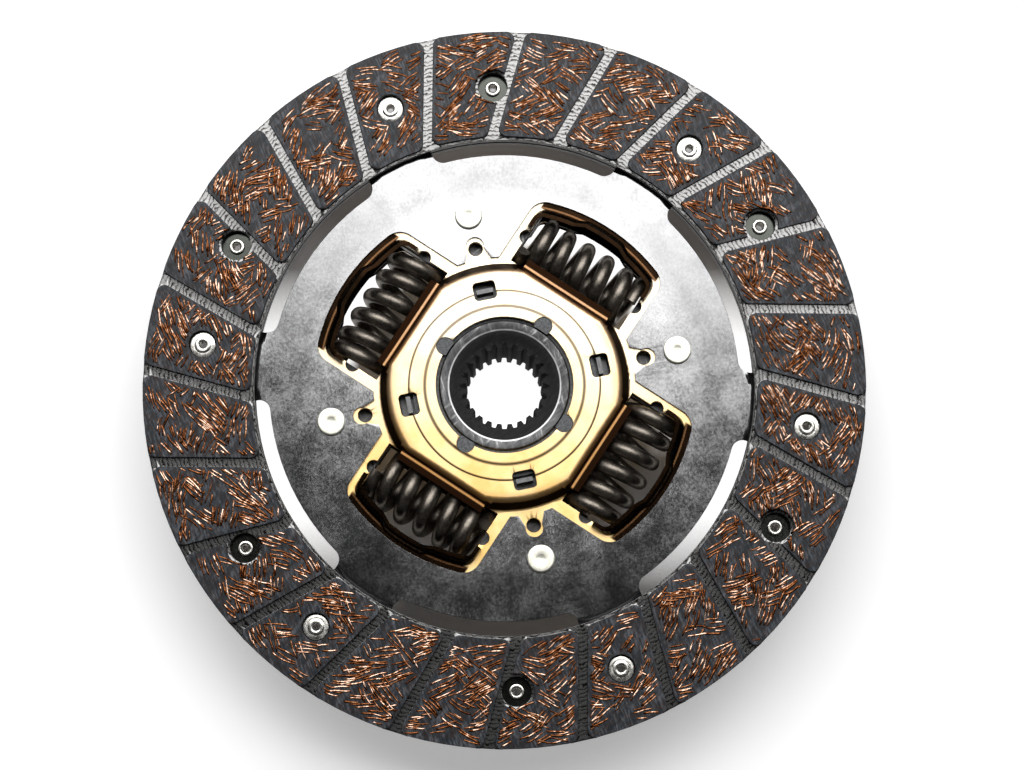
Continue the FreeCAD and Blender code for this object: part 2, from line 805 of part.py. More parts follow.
def wave_washer():
    """A thin ring with waves, between the thrust plate and the front bush."""
    low = flange_top_z + running_clearance + washer_thickness + thrust_plate_thickness
    high = dome_inner_z - bush_flange_thickness
    rise = (high - low - wave_washer_thickness) / 2
    middle = (low + high - wave_washer_thickness) / 2
    steps = 8 * wave_count
    points = []
    for step in range(steps):
        angle = 2 * math.pi * step / steps
        z = middle + rise * math.cos(wave_count * angle)
        for radius, lift in (
            (wave_washer_inner_r, 0),
            (wave_washer_outer_r, 0),
            (wave_washer_outer_r, wave_washer_thickness),
            (wave_washer_inner_r, wave_washer_thickness),
        ):
            points.append(Vec(radius * math.cos(angle), radius * math.sin(angle), z + lift))
    facets = []
    for step in range(steps):
        for side in range(4):
            a = step * 4 + side
            b = step * 4 + (side + 1) % 4
            c = (a + 4) % len(points)
            d = (b + 4) % len(points)
            facets.append((a, b, d))
            facets.append((a, d, c))
    shell = Part.Shape()
    shell.makeShapeFromMesh((points, facets), 0.001)
    solid = Part.makeSolid(shell)
    if solid.Volume < 0:
        solid.reverse()
    return solid


def hub_bush_front():
    """The front bush: a flange under the dome, a raised ring in the collar, and four ears in the lobes."""
    inner = hub_front_r + running_clearance
    low = dome_inner_z - bush_flange_thickness
    body = ring(bush_flange_r, inner, low, dome_inner_z)
    step_r = collar_seat_r - 2 * assembly_clearance
    body = body.fuse(ring(step_r, inner, low, dome_inner_z + collar_height))
    ear = cylinder(
        bore_lobe_r - 2 * assembly_clearance, low, dome_top_z + collar_height / 2, bore_lobe_circle_r
    )
    body = body.fuse(around(ear, window_count, first_window_deg))
    return one_solid(body.cut(cylinder(inner, low - over, dome_top_z + 2 * over)))


def hub_bush_rear():
    """The rear bush: a flange inside the rear dome and a sleeve through the rear plate's bore."""
    inner = hub_rear_r + running_clearance
    floor_z = rear_inner_z - rear_dome_height
    high = flange_bottom_z - running_clearance - washer_thickness
    body = ring(bush_flange_r, inner, floor_z, high)
    sleeve_r = inner + rear_bush_wall - assembly_clearance
    sleeve = ring(sleeve_r, inner, floor_z - side_plate_thickness - rear_sleeve_stand, high)
    return one_solid(body.fuse(sleeve))


def save(name, shape):
    """Write one node's STEP file and print its facts."""
    shape.exportStep("parts/" + name + ".step")
    print(name, "solids", len(shape.Solids), "valid", shape.isValid(), "volume", round(shape.Volume, 1))


os.makedirs("parts", exist_ok=True)
front_facing = at_front(facing())
front_rivets = facing_rivets()
save("facing_front", front_facing)
save("facing_rear", turned_over(front_facing))
save("facing_rivets_front", front_rivets)
save("facing_rivets_rear", turned_over(front_rivets))
save("disc_plate", disc_plate())
save("front_retainer", front_retainer())
save("rear_retainer", rear_retainer())
save("hub", hub())
for number, pin in enumerate(around(stop_pin(), window_count, pin_first_deg), 1):
    save("stop_pin_%d" % number, pin)
for number in range(1, window_count + 1):
    spring = damper_spring(spring_half_turn_deg * ((number - 1) % 2))
    save("damper_spring_%d" % number, turned(spring, first_window_deg + window_pitch_deg * (number - 1)))
save("thrust_plate", thrust_plate())
save("wave_washer", wave_washer())
save("friction_washer_front", friction_washer(flange_top_z + running_clearance))
save("friction_washer_rear", friction_washer(flange_bottom_z - running_clearance - washer_thickness))
save("hub_bush_front", hub_bush_front())
save("hub_bush_rear", hub_bush_rear())
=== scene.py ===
# %% [markdown]
# # A clutch disc, dressed for its picture
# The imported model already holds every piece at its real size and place. This lesson gives the
# pieces their finish: round wire for the springs, turned heads for the rivets and pins, soft edges
# on the pressed sheets, and thousands of short brass wires in the friction facings.
# Everything is measured in metres, in the model's own frame: the disc's axis is Z, and the dome
# looks up.

import bmesh
import bpy
import numpy as np
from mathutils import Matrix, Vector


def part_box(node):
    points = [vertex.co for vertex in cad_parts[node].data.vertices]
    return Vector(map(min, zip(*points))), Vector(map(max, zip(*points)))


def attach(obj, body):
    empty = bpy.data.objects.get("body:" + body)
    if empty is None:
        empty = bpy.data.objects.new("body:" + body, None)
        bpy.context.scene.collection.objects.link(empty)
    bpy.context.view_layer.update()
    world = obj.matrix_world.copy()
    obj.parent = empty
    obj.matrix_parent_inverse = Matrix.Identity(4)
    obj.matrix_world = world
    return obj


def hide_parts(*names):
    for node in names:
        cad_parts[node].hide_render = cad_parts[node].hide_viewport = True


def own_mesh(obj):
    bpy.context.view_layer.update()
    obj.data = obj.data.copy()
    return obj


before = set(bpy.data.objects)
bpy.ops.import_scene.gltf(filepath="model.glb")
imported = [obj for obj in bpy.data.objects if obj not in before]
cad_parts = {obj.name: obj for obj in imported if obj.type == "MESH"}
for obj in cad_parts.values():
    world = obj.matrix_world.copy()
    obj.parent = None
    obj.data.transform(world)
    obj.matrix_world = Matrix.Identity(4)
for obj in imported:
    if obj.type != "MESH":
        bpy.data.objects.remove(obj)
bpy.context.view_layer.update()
MM = 0.001
print("nodes in the frame:", len(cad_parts))

# %% [markdown]
# ## The sizes that the looks share
# The frame tells where each piece lies, so heights and the outer radius are read from it instead of
# typed again. The pattern of the grooves, the places of the rivets and windows and the sheets'
# levels are repeated here, because a box can't tell them.

# %% Measure the frame
facing_high = np.array(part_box("facing_front")[1])
rear_low = np.array(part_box("facing_rear")[0])
pin_low, pin_high = (np.array(corner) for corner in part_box("stop_pin_1"))
facing_outer_r = facing_high[0]
facing_inner_r = 74.4 * MM
facing_thickness = 3.5 * MM
pad_height = 1.1 * MM
groove_count = 24
groove_width = 2.8 * MM
groove_tangent_r = 23.8 * MM
groove_start = np.radians(-0.5)
rivet_circle_r = 90.7 * MM
rivet_count = 6
front_rivet_angle = np.radians(52.25)
rear_rivet_angle = np.radians(32.25)
first_window_angle = np.radians(56.8)
window_count = 4
front_sheet_z = 30.0 * MM
rear_sheet_z = 17.0 * MM
cushion_mid_z = float((facing_high[2] + rear_low[2]) / 2)
print("facings reach from z", rear_low[2], "to", facing_high[2])

# %% [markdown]
# ## The camera
# The photograph was taken almost straight from above with a long lens, so the round disc stays
# nearly round. The camera stands a little towards the viewer and leans back to the disc.

# %% Place the camera
camera_data = bpy.data.cameras.new("camera")
camera_data.lens = 91.41
camera_data.sensor_width = 36.0
camera_data.shift_x = 0.0089
camera_data.shift_y = 0.06
camera = bpy.data.objects.new("camera", camera_data)
camera.location = (-3.03 * MM, -101.4 * MM, 799.0 * MM)
camera.rotation_euler = (np.radians(6.19), np.radians(-0.19), 0.0)
bpy.context.scene.collection.objects.link(camera)
bpy.context.scene.camera = camera
bpy.context.scene.view_settings.view_transform = "Standard"

# %% [markdown]
# ## Short names for shader nodes
# A material is a small machine of nodes. These helpers make one node each and return its output,
# so that a finish below reads like a recipe. Patterns read Object coordinates: they are real
# positions in metres, so a noise of scale 1000 has grains of about a millimetre.

# %% Shader helpers
SOCKET = bpy.types.NodeSocket


def plug(tree, value, socket):
    """Link an output to a socket, or write a plain value into it."""
    if isinstance(value, SOCKET):
        tree.links.new(value, socket)
    else:
        socket.default_value = value


def calc(tree, operation, first, second=0.0, third=0.0):
    """One step of arithmetic on every point of the surface."""
    step = tree.nodes.new("ShaderNodeMath")
    step.operation = operation
    for socket, value in zip(step.inputs, (first, second, third)):
        plug(tree, value, socket)
    return step.outputs[0]


def place(tree, stretch=(1.0, 1.0, 1.0), turn=0.0):
    """Object coordinates, turned about Z and stretched along the axes."""
    coordinates = tree.nodes.new("ShaderNodeTexCoord").outputs["Object"]
    mapping = tree.nodes.new("ShaderNodeMapping")
    mapping.vector_type = "TEXTURE"
    mapping.inputs["Rotation"].default_value = (0.0, 0.0, turn)
    mapping.inputs["Scale"].default_value = stretch
    tree.links.new(coordinates, mapping.inputs["Vector"])
    return mapping.outputs["Vector"]


def noise(tree, where, scale, detail=3.0, roughness=0.55):
    """Soft random spots; the output runs from about 0.3 to 0.7."""
    spots = tree.nodes.new("ShaderNodeTexNoise")
    spots.inputs["Scale"].default_value = scale
    spots.inputs["Detail"].default_value = detail
    spots.inputs["Roughness"].default_value = roughness
    tree.links.new(where, spots.inputs["Vector"])
    return spots.outputs["Fac"]


def ramp(tree, value, stops):
    """Turn a number into a colour through a list of (number, colour) stops."""
    band = tree.nodes.new("ShaderNodeValToRGB")
    while len(band.color_ramp.elements) < len(stops):
        band.color_ramp.elements.new(0.5)
    for element, (position, colour) in zip(band.color_ramp.elements, stops):
        element.position = position
        element.color = (*colour, 1.0)
    plug(tree, value, band.inputs["Fac"])
    return band.outputs["Color"]


def level(tree, value, low, high, bottom=0.0, top=1.0):
    """Stretch a number from low..high to bottom..top, and clamp it."""
    step = tree.nodes.new("ShaderNodeMapRange")
    for name, number in (("From Min", low), ("From Max", high), ("To Min", bottom), ("To Max", top)):
        step.inputs[name].default_value = number
    plug(tree, value, step.inputs["Value"])
    return step.outputs["Result"]


def blend(tree, share, first, second):
    """Mix two colours by a share from 0 to 1."""
    step = tree.nodes.new("ShaderNodeMix")
    step.data_type = "RGBA"
    plug(tree, share, step.inputs["Factor"])
    plug(tree, first if isinstance(first, SOCKET) else (*first, 1.0), step.inputs[6])
    plug(tree, second if isinstance(second, SOCKET) else (*second, 1.0), step.inputs[7])
    return step.outputs[2]


def times(tree, *factors):
    """The product of numbers and outputs."""
    product = factors[0]
    for factor in factors[1:]:
        product = calc(tree, "MULTIPLY", product, factor)
    return product


def larger(tree, first, second):
    """The larger of two numbers."""
    return calc(tree, "MAXIMUM", first, second)


def stripe(tree, value, centre, reach, core):
    """1 within core of the centre, and down to 0 at reach from it."""
    return level(tree, calc(tree, "ABSOLUTE", calc(tree, "SUBTRACT", value, centre)), reach, core)


def plan(tree, turn=0.0):
    """The three coordinates of a point, in axes turned about the disc's own."""
    split = tree.nodes.new("ShaderNodeSeparateXYZ")
    tree.links.new(place(tree, turn=turn), split.inputs[0])
    return tuple(split.outputs)


def axial(tree):
    """Distance from the disc's axis, and height, at each point of the surface."""
    x, y, z = plan(tree)
    return calc(tree, "SQRT", calc(tree, "MULTIPLY_ADD", x, x, times(tree, y, y))), z


def raise_surface(tree, shader, height, depth):
    """Bump: a height from 0 to 1 becomes a relief of that depth in metres."""
    relief = tree.nodes.new("ShaderNodeBump")
    relief.inputs["Distance"].default_value = depth
    relief.inputs["Strength"].default_value = 1.0
    tree.links.new(height, relief.inputs["Height"])
    tree.links.new(relief.outputs["Normal"], shader.inputs["Normal"])


def new_finish(name, metallic):
    """An empty material with its shader, ready for a recipe."""
    material = bpy.data.materials.new(name)
    material.use_nodes = True
    shader = material.node_tree.nodes["Principled BSDF"]
    shader.inputs["Metallic"].default_value = metallic
    return material, material.node_tree, shader


def metal_finish(name, dark, light, rough, spot_scale, relief):
    """A worn metal: clouds between two colours, patchy gloss, and a fine grain."""
    material, tree, shader = new_finish(name, 1.0)
    clouds = noise(tree, place(tree), spot_scale, 5.0, 0.6)
    grain = noise(tree, place(tree), 1400.0, 3.0, 0.6)
    both = calc(tree, "MULTIPLY_ADD", grain, 0.45, times(tree, clouds, 0.55))
    tree.links.new(ramp(tree, both, [(0.38, dark), (0.62, light)]), shader.inputs["Base Color"])
    tree.links.new(level(tree, both, 0.4, 0.6, rough[0], rough[1]), shader.inputs["Roughness"])
    raise_surface(tree, shader, grain, relief)
    return material


# %% [markdown]
# ## Steel
# Bare metal has almost no colour of its own: it shows what it mirrors, tinted. So the recipes set
# the tint and how blurred the mirror is, and the lamp does the rest. The springs are blackened with
# oil, the pins and rivets are bright, and the thrust plate is dull.

# %% Finishes of the small steel pieces
spring_steel = metal_finish(
    "spring_steel", (0.09, 0.078, 0.066), (0.22, 0.195, 0.165), (0.33, 0.43), 260.0, 0.004 * MM
)
pin_steel = metal_finish(
    "pin_steel", (0.90, 0.88, 0.74), (0.97, 0.96, 0.86), (0.38, 0.46), 300.0, 0.004 * MM
)
rivet_steel = metal_finish(
    "rivet_steel", (0.42, 0.41, 0.38), (0.78, 0.76, 0.70), (0.22, 0.36), 500.0, 0.01 * MM
)
washer_steel = metal_finish(
    "washer_steel", (0.10, 0.10, 0.10), (0.20, 0.20, 0.20), (0.40, 0.50), 200.0, 0.008 * MM
)

# %% [markdown]
# ## The grey plate
# The plate is one sheet with three looks: rubbed bright round the pins, stained grey further out, and
# painted dark as shade on the paddles between the facings. Its distance from the axis picks between
# them, and the stains are a soft noise with a fine grain over it.

# %% Plate finish
rubbed_out_to = 61.0 * MM
rubbed_within = 52.0 * MM
paddle_start_r = 75.0 * MM
paddle_full_r = 77.0 * MM
plate_steel, tree, shader = new_finish("plate_steel", 1.0)
radius, height = axial(tree)
stains = noise(tree, place(tree), 120.0, 5.0, 0.6)
grain = noise(tree, place(tree, (1.0, 1.3, 1.0)), 1400.0, 3.0, 0.6)
both = calc(tree, "MULTIPLY_ADD", grain, 0.45, times(tree, stains, 0.55))
steel_grey = ramp(tree, both, [(0.38, (0.17, 0.17, 0.172)), (0.62, (0.28, 0.28, 0.28))])
rubbed_grey = ramp(tree, both, [(0.38, (0.28, 0.28, 0.28)), (0.62, (0.40, 0.40, 0.40))])
steel_colour = blend(tree, level(tree, radius, rubbed_out_to, rubbed_within), steel_grey, rubbed_grey)
# Painted shade: the plate goes near black on the paddles between the facings.
paddle_painted_shade = level(tree, radius, paddle_start_r, paddle_full_r)
tree.links.new(blend(tree, paddle_painted_shade, steel_colour, (0.045, 0.048, 0.042)), shader.inputs["Base Color"])
tree.links.new(level(tree, both, 0.4, 0.6, 0.15, 0.23), shader.inputs["Roughness"])
raise_surface(tree, shader, grain, 0.006 * MM)

# %% [markdown]
# ## The side plates' yellow coat
# The coat is pale gold on flat sheet. Painted light makes it paler towards the disc's upper edge,
# and painted shade deeper towards its lower edge. Painted shade also makes it orange-brown on the
# dome's rounded edge and beside the lips, and nearly black on the dome's wall, in its creases, on the
# lips and on the hoods over the springs, with one thin painted highlight line on each lip and hood.
# Four numbers tell these places apart: the distance from the axis, the height off the flat sheet, the
# distance along the window's middle line, called chord, and the distance to the side of it, called
# aside. The rear plate's inner face, which shows between the coils, is painted dark as shade.

# %% Gold finish
dome_wall_r = 40.0 * MM
window_inner_r = 42.0 * MM
hood_inner_r = 45.0 * MM
hood_crest_r = 55.4 * MM
hood_foot_chord = 50.5 * MM
hood_half_width = 20.9 * MM
lip_half_width = 17.5 * MM
lip_bend_chord = 31.6 * MM
lip_highlight_chord = 33.45 * MM
dome_shade_start_r = 31.5 * MM
dome_shade_full_r = 36.0 * MM
dome_crease_radii = (28.4 * MM, 23.7 * MM)
gold_shade_y = -24.0 * MM
gold_light_y = 22.0 * MM


def gold_finish(name, sheet_z, outwards):
    """Gold coat of a side plate, with painted shade in brown and near black, and painted highlight lines.

    The flat sheet's outer face is at sheet_z, and outwards is 1 where the hoods rise from it towards
    +Z, or -1 where they rise towards -Z.
    """
    material, tree, shader = new_finish(name, 1.0)
    radius, height = axial(tree)
    x, y, _ = plan(tree, first_window_angle)
    x, y = calc(tree, "ABSOLUTE", x), calc(tree, "ABSOLUTE", y)
    chord, aside = larger(tree, x, y), calc(tree, "MINIMUM", x, y)
    clouds = noise(tree, place(tree), 90.0, 4.0, 0.6)
    grain = noise(tree, place(tree), 1500.0, 3.0, 0.6)
    raised = times(tree, calc(tree, "SUBTRACT", height, sheet_z), outwards)
    off_sheet = level(tree, raised, 0.10 * MM, 0.35 * MM)
    over_spring = level(tree, aside, lip_half_width, lip_half_width - 1.5 * MM)

    hood_foot = times(
        tree,
        level(tree, chord, hood_foot_chord, hood_foot_chord + 1.0 * MM),
        level(tree, aside, hood_half_width, hood_half_width - 0.5 * MM),
    )
    beyond_window = level(tree, radius, window_inner_r, hood_inner_r)
    on_hood = larger(tree, times(tree, beyond_window, off_sheet), hood_foot)

    anywhere = 1.0 * MM
    wall_start = calc(tree, "MULTIPLY_ADD", over_spring, lip_bend_chord - anywhere, anywhere)
    past_start = level(tree, calc(tree, "SUBTRACT", chord, wall_start), 0.0, 0.3 * MM)
    below_top = level(tree, raised, 3.3 * MM, 2.5 * MM)
    on_dome = level(tree, radius, window_inner_r, dome_wall_r)
    # Painted highlight: a thin gold line along each lip, kept out of the dark wall.
    lip_painted_highlight = times(tree, stripe(tree, chord, lip_highlight_chord, 0.45 * MM, 0.20 * MM), over_spring)
    on_wall = times(tree, off_sheet, below_top, on_dome, past_start, calc(tree, "SUBTRACT", 1.0, lip_painted_highlight))

    # Painted shade: the dome's wall and thin rings in its creases go nearly black.
    outer_crease, inner_crease = dome_crease_radii
    crease_painted_shade = larger(tree, stripe(tree, radius, outer_crease, 0.5 * MM, 0.15 * MM),
                    stripe(tree, radius, inner_crease, 0.7 * MM, 0.3 * MM))
    wall_and_crease_shade = larger(tree, on_wall, times(tree, crease_painted_shade, 0.75))

    # Painted light and shade: the gold is paler towards the disc's upper edge and deeper towards its lower
    # edge.
    lit_gold = ramp(tree, clouds, [(0.36, (0.98, 0.80, 0.54)), (0.55, (1.0, 0.86, 0.66))])
    shaded_gold = ramp(tree, clouds, [(0.36, (0.92, 0.60, 0.22)), (0.55, (1.0, 0.72, 0.34))])
    sheet = blend(tree, level(tree, plan(tree)[1], gold_shade_y, gold_light_y), shaded_gold, lit_gold)
    # Painted shade: orange-brown on the dome's rounded edge and beside the lips.
    near_lip = times(tree, level(tree, chord, lip_bend_chord - 1.4 * MM, lip_bend_chord), over_spring)
    near_edge = larger(tree, level(tree, radius, dome_shade_start_r, dome_shade_full_r), near_lip)
    sheet = blend(tree, times(tree, near_edge, off_sheet, 0.85), sheet, (0.36, 0.155, 0.045))
    coat = blend(tree, wall_and_crease_shade, sheet, (0.013, 0.0055, 0.0025))

    # Painted shade: the hoods are nearly black, with a painted highlight line along their crest.
    hood_painted_shade = ramp(tree, clouds, [(0.35, (0.005, 0.003, 0.0015)), (0.65, (0.014, 0.007, 0.0035))])
    crest_painted_highlight = stripe(tree, radius, hood_crest_r, 0.35 * MM, 0.15 * MM)
    hood_painted_shade = blend(tree, times(tree, crest_painted_highlight, 0.7), hood_painted_shade, (0.16, 0.08, 0.035))
    coat = blend(tree, on_hood, coat, hood_painted_shade)
    # Painted shade: the rear plate's inner face is dark.
    if outwards < 0:
        inner_face_shade = level(tree, height, sheet_z + 0.3 * MM, sheet_z + 0.8 * MM)
        coat = blend(tree, inner_face_shade, coat, (0.02, 0.012, 0.008))
    tree.links.new(coat, shader.inputs["Base Color"])
    gloss = level(tree, grain, 0.35, 0.65, 0.36, 0.48)
    tree.links.new(calc(tree, "MULTIPLY_ADD", on_hood, -0.14, gloss), shader.inputs["Roughness"])
    raise_surface(tree, shader, grain, 0.004 * MM)
    return material


gold_steel = gold_finish("gold_steel", front_sheet_z, 1.0)
gold_rear = gold_finish("gold_rear", rear_sheet_z, -1.0)

# %% [markdown]
# ## The hub's steel
# The hub is turned and broached. Its end ring is ground and scratched, with a painted highlight line
# at its inner edge. The cone and the spline inside are painted near black as shade, dull and not
# metallic. The radius picks between the two. The scratches are noise drawn out long, in two directions.

# %% Hub finish
hub_ring_inner_r = 16.45 * MM
hub_highlight_line_r = 16.65 * MM
hub_steel, tree, shader = new_finish("hub_steel", 1.0)
radius, height = axial(tree)
scratches = noise(tree, place(tree, (6.0, 1.0, 1.0), 0.7), 900.0, 4.0, 0.7)
crossing = noise(tree, place(tree, (1.0, 7.0, 1.0), 0.2), 700.0, 4.0, 0.7)
marks = larger(tree, scratches, crossing)
ring_colour = ramp(tree, marks, [
    (0.44, (0.055, 0.055, 0.058)),
    (0.60, (0.12, 0.12, 0.12)),
    (0.72, (0.40, 0.40, 0.40)),
])
# Painted shade: the cone and the spline inside are near black.
bore_painted_shade = ramp(tree, scratches, [(0.40, (0.008, 0.008, 0.009)), (0.62, (0.018, 0.018, 0.018))])
inside = level(tree, radius, hub_ring_inner_r, hub_ring_inner_r - 0.1 * MM)
# Painted highlight: a bright line at the ring's inner edge.
edge_painted_highlight = times(tree, stripe(tree, radius, hub_highlight_line_r, 0.28 * MM, 0.16 * MM), 0.8)
ring_colour = blend(tree, edge_painted_highlight, ring_colour, (0.55, 0.55, 0.55))
tree.links.new(blend(tree, inside, ring_colour, bore_painted_shade), shader.inputs["Base Color"])
tree.links.new(level(tree, inside, 0.0, 1.0, 0.45, 0.9), shader.inputs["Roughness"])
tree.links.new(calc(tree, "SUBTRACT", 1.0, inside), shader.inputs["Metallic"])
raise_surface(tree, shader, marks, 0.006 * MM)

# %% [markdown]
# ## The moulded bush and the friction rings
# Both are pressed from filled resin: dull, grey, with a fine grain.

# %% Resin finishes
def resin_finish(name, dark, light, rough):
    """A dull filled resin: fine speckle and a slight orange-peel relief."""
    material, tree, shader = new_finish(name, 0.0)
    speckle = noise(tree, place(tree), 1600.0, 3.0, 0.6)
    tree.links.new(ramp(tree, speckle, [(0.4, dark), (0.62, light)]), shader.inputs["Base Color"])
    shader.inputs["Roughness"].default_value = rough
    raise_surface(tree, shader, speckle, 0.02 * MM)
    return material


bush_resin = resin_finish("bush_resin", (0.05, 0.053, 0.058), (0.12, 0.126, 0.13), 0.5)
ring_resin = resin_finish("ring_resin", (0.07, 0.06, 0.05), (0.15, 0.13, 0.11), 0.7)

# %% [markdown]
# ## The friction lining
# The pads are wound yarn in dark resin, ground flat. Between them the groove floors are moulded and
# shiny, with marks across the groove. One material does both: the height above the middle of the
# disc tells pad from floor, and the distance along a groove gives its cross marks. A groove lies on
# a line that passes the axis at a fixed distance, so the way along it is the root of radius squared
# minus that distance squared.

# %% Lining finish
mark_spacing = 1.25 * MM
floor_height = float(facing_high[2]) - cushion_mid_z - pad_height
lining, tree, shader = new_finish("lining", 0.0)
shader.inputs["Specular IOR Level"].default_value = 0.22
radius, height = axial(tree)
fibres = noise(tree, place(tree, (1.0, 5.0, 1.0), 0.35), 1500.0, 4.0, 0.65)
yarn = noise(tree, place(tree, (4.0, 1.0, 1.0), 0.9), 420.0, 4.0, 0.65)
tint = noise(tree, place(tree), 700.0, 2.0, 0.6)
weave = calc(tree, "MULTIPLY_ADD", fibres, 0.6, times(tree, yarn, 0.4))
pad_grey = ramp(tree, weave, [
    (0.38, (0.004, 0.004, 0.005)),
    (0.50, (0.028, 0.030, 0.034)),
    (0.64, (0.15, 0.16, 0.18)),
])
pad_tint = ramp(tree, tint, [
    (0.35, (0.010, 0.024, 0.038)),
    (0.50, (0.018, 0.018, 0.020)),
    (0.65, (0.050, 0.022, 0.016)),
])
pad_colour = blend(tree, 0.35, pad_grey, pad_tint)

along = calc(tree, "SQRT", calc(tree, "SUBTRACT", times(tree, radius, radius), groove_tangent_r ** 2))
wobble = noise(tree, place(tree), 500.0, 2.0, 0.6)
phase = calc(tree, "MULTIPLY_ADD", along, 2 * np.pi / mark_spacing, times(tree, wobble, 14.0))
ripple = calc(tree, "SINE", phase)
marks = calc(tree, "MULTIPLY_ADD", ripple, 0.5, calc(tree, "MULTIPLY_ADD", wobble, 1.2, -0.1))
floor_colour = ramp(tree, marks, [
    (0.0, (0.015, 0.014, 0.013)),
    (0.20, (0.12, 0.118, 0.115)),
    (0.80, (0.19, 0.188, 0.185)),
])

away = calc(tree, "ABSOLUTE", calc(tree, "SUBTRACT", height, cushion_mid_z))
below_pad = level(tree, away, floor_height + 0.05 * MM, floor_height + 0.15 * MM, 1.0, 0.0)
above_back = level(tree, away, floor_height - 0.25 * MM, floor_height - 0.15 * MM)
on_floor = times(tree, below_pad, above_back)
tree.links.new(blend(tree, on_floor, pad_colour, floor_colour), shader.inputs["Base Color"])
tree.links.new(times(tree, on_floor, 0.85), shader.inputs["Metallic"])
tree.links.new(level(tree, on_floor, 0.0, 1.0, 0.42, 0.20), shader.inputs["Roughness"])
softer = calc(tree, "SUBTRACT", times(tree, marks, 0.03), weave)
raise_surface(tree, shader, calc(tree, "MULTIPLY_ADD", on_floor, softer, weave), 0.09 * MM)

# %% [markdown]
# ## Brass wire in the lining
# The wires are brass, drawn together with the yarn. Each strand is bright along its ridge, where brass
# ground flat with the pad shows and a highlight is painted, and darkens beside it to a painted shade,
# nearly black at its sides. The mesh carries that as a number called core, from 0 at the edge to 1 on
# the ridge, and a noise of about a millimetre breaks the painted highlight into short glints.

# %% Wire finish
wire_brass, tree, shader = new_finish("wire_brass", 1.0)
core = tree.nodes.new("ShaderNodeAttribute")
core.attribute_name = "core"
patches = noise(tree, place(tree), 620.0, 3.0, 0.65)
# Painted highlight on each strand's ridge and painted shade at its sides.
shade = times(tree, core.outputs["Fac"], level(tree, patches, 0.36, 0.62, 0.35, 1.05))
wire_colour = ramp(tree, shade, [
    (0.06, (0.010, 0.004, 0.002)),
    (0.30, (0.065, 0.020, 0.007)),
    (0.62, (0.22, 0.082, 0.030)),
    (0.92, (0.70, 0.48, 0.36)),
])
tree.links.new(wire_colour, shader.inputs["Base Color"])
shader.inputs["Roughness"].default_value = 0.34

# %% [markdown]
# ## Meshes from grids of points
# A surface is a grid of points: one index runs one way, the other runs across. numpy works out all
# the points at once, and neighbours in the grid share a face.

# %% Grid meshes
def make_piece(name, points, faces, material, sharp_angle=None):
    """A mesh object at the origin from arrays of points and faces, smooth except at sharp edges."""
    mesh = bpy.data.meshes.new(name)
    mesh.from_pydata(points.tolist(), [], faces)
    mesh.materials.append(material)
    mesh.shade_smooth()
    if sharp_angle is not None:
        mesh.set_sharp_from_angle(angle=sharp_angle)
    piece = bpy.data.objects.new(name, mesh)
    bpy.context.scene.collection.objects.link(piece)
    return piece


def tube_faces(rings, sides):
    """Quads between rings of points, ring after ring, and a flat cap on each end."""
    ring, side = np.meshgrid(np.arange(rings - 1), np.arange(sides), indexing="ij")
    here = ring * sides + side
    beside = ring * sides + (side + 1) % sides
    quads = np.stack([here, beside, beside + sides, here + sides], axis=-1).reshape(-1, 4)
    last = (rings - 1) * sides
    caps = [list(range(sides - 1, -1, -1)), list(range(last, last + sides))]
    return quads.tolist() + caps


def turned_piece(name, profile, centre, material, steps):
    """A body of revolution: a profile of (radius, height) turned about an upright axis.

    A point is (x + r cos a, y + r sin a, z), with the profile from the lower pole to the upper one.
    """
    angle = np.linspace(0.0, 2 * np.pi, steps, endpoint=False)
    profile = np.array(profile, float)
    r = profile[:, 0][:, None]
    z = profile[:, 1][:, None] + 0 * angle[None, :]
    points = np.stack([centre[0] + r * np.cos(angle), centre[1] + r * np.sin(angle), z], axis=-1)
    faces = tube_faces(len(profile), steps)
    return make_piece(name, points.reshape(-1, 3), faces, material, np.radians(38))


def round_points(count, first_angle, radius):
    """Evenly spaced places on a circle about the disc's axis."""
    angle = first_angle + 2 * np.pi * np.arange(count) / count
    return np.stack([radius * np.cos(angle), radius * np.sin(angle)], axis=-1)


# %% [markdown]
# ## Softening the pressed sheets
# The model's sheets have knife edges, which no press makes. A copy of such a mesh is welded, and a
# Bevel modifier rounds what is still sharp. The copy then stands for the model's own node.

# %% Rounded copies
sheet_sharp_angle = np.radians(40.0)


def rounded_copy(node, body, material, width):
    """A welded copy of a node with its sharp edges rounded over the given width."""
    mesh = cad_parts[node].data.copy()
    tool = bmesh.new()
    tool.from_mesh(mesh)
    bmesh.ops.remove_doubles(tool, verts=tool.verts, dist=0.002 * MM)
    tool.to_mesh(mesh)
    tool.free()
    mesh.materials.clear()
    mesh.materials.append(material)
    mesh.shade_smooth()
    mesh.set_sharp_from_angle(angle=sheet_sharp_angle)
    piece = bpy.data.objects.new(node + "_finished", mesh)
    bpy.context.scene.collection.objects.link(piece)
    bevel = piece.modifiers.new("rounded edges", "BEVEL")
    bevel.limit_method = "ANGLE"
    bevel.angle_limit = sheet_sharp_angle
    bevel.width = width
    bevel.segments = 2
    bevel.use_clamp_overlap = False
    normals = piece.modifiers.new("flat faces keep their shading", "WEIGHTED_NORMAL")
    normals.mode = "FACE_AREA"
    normals.weight = 100
    normals.keep_sharp = True
    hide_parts(node)
    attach(piece, body)


rounded_copy("disc_plate", "disc", plate_steel, 0.10 * MM)
rounded_copy("front_retainer", "disc", gold_steel, 0.10 * MM)
rounded_copy("rear_retainer", "disc", gold_rear, 0.10 * MM)
rounded_copy("hub", "hub", hub_steel, 0.10 * MM)
rounded_copy("facing_front", "disc", lining, 0.12 * MM)
rounded_copy("facing_rear", "disc", lining, 0.12 * MM)

# %% [markdown]
# ## The other pieces of the friction pack
# These nodes already have their shape: rings, washers and the bush with its ears. They keep their
# own mesh and only get a finish.

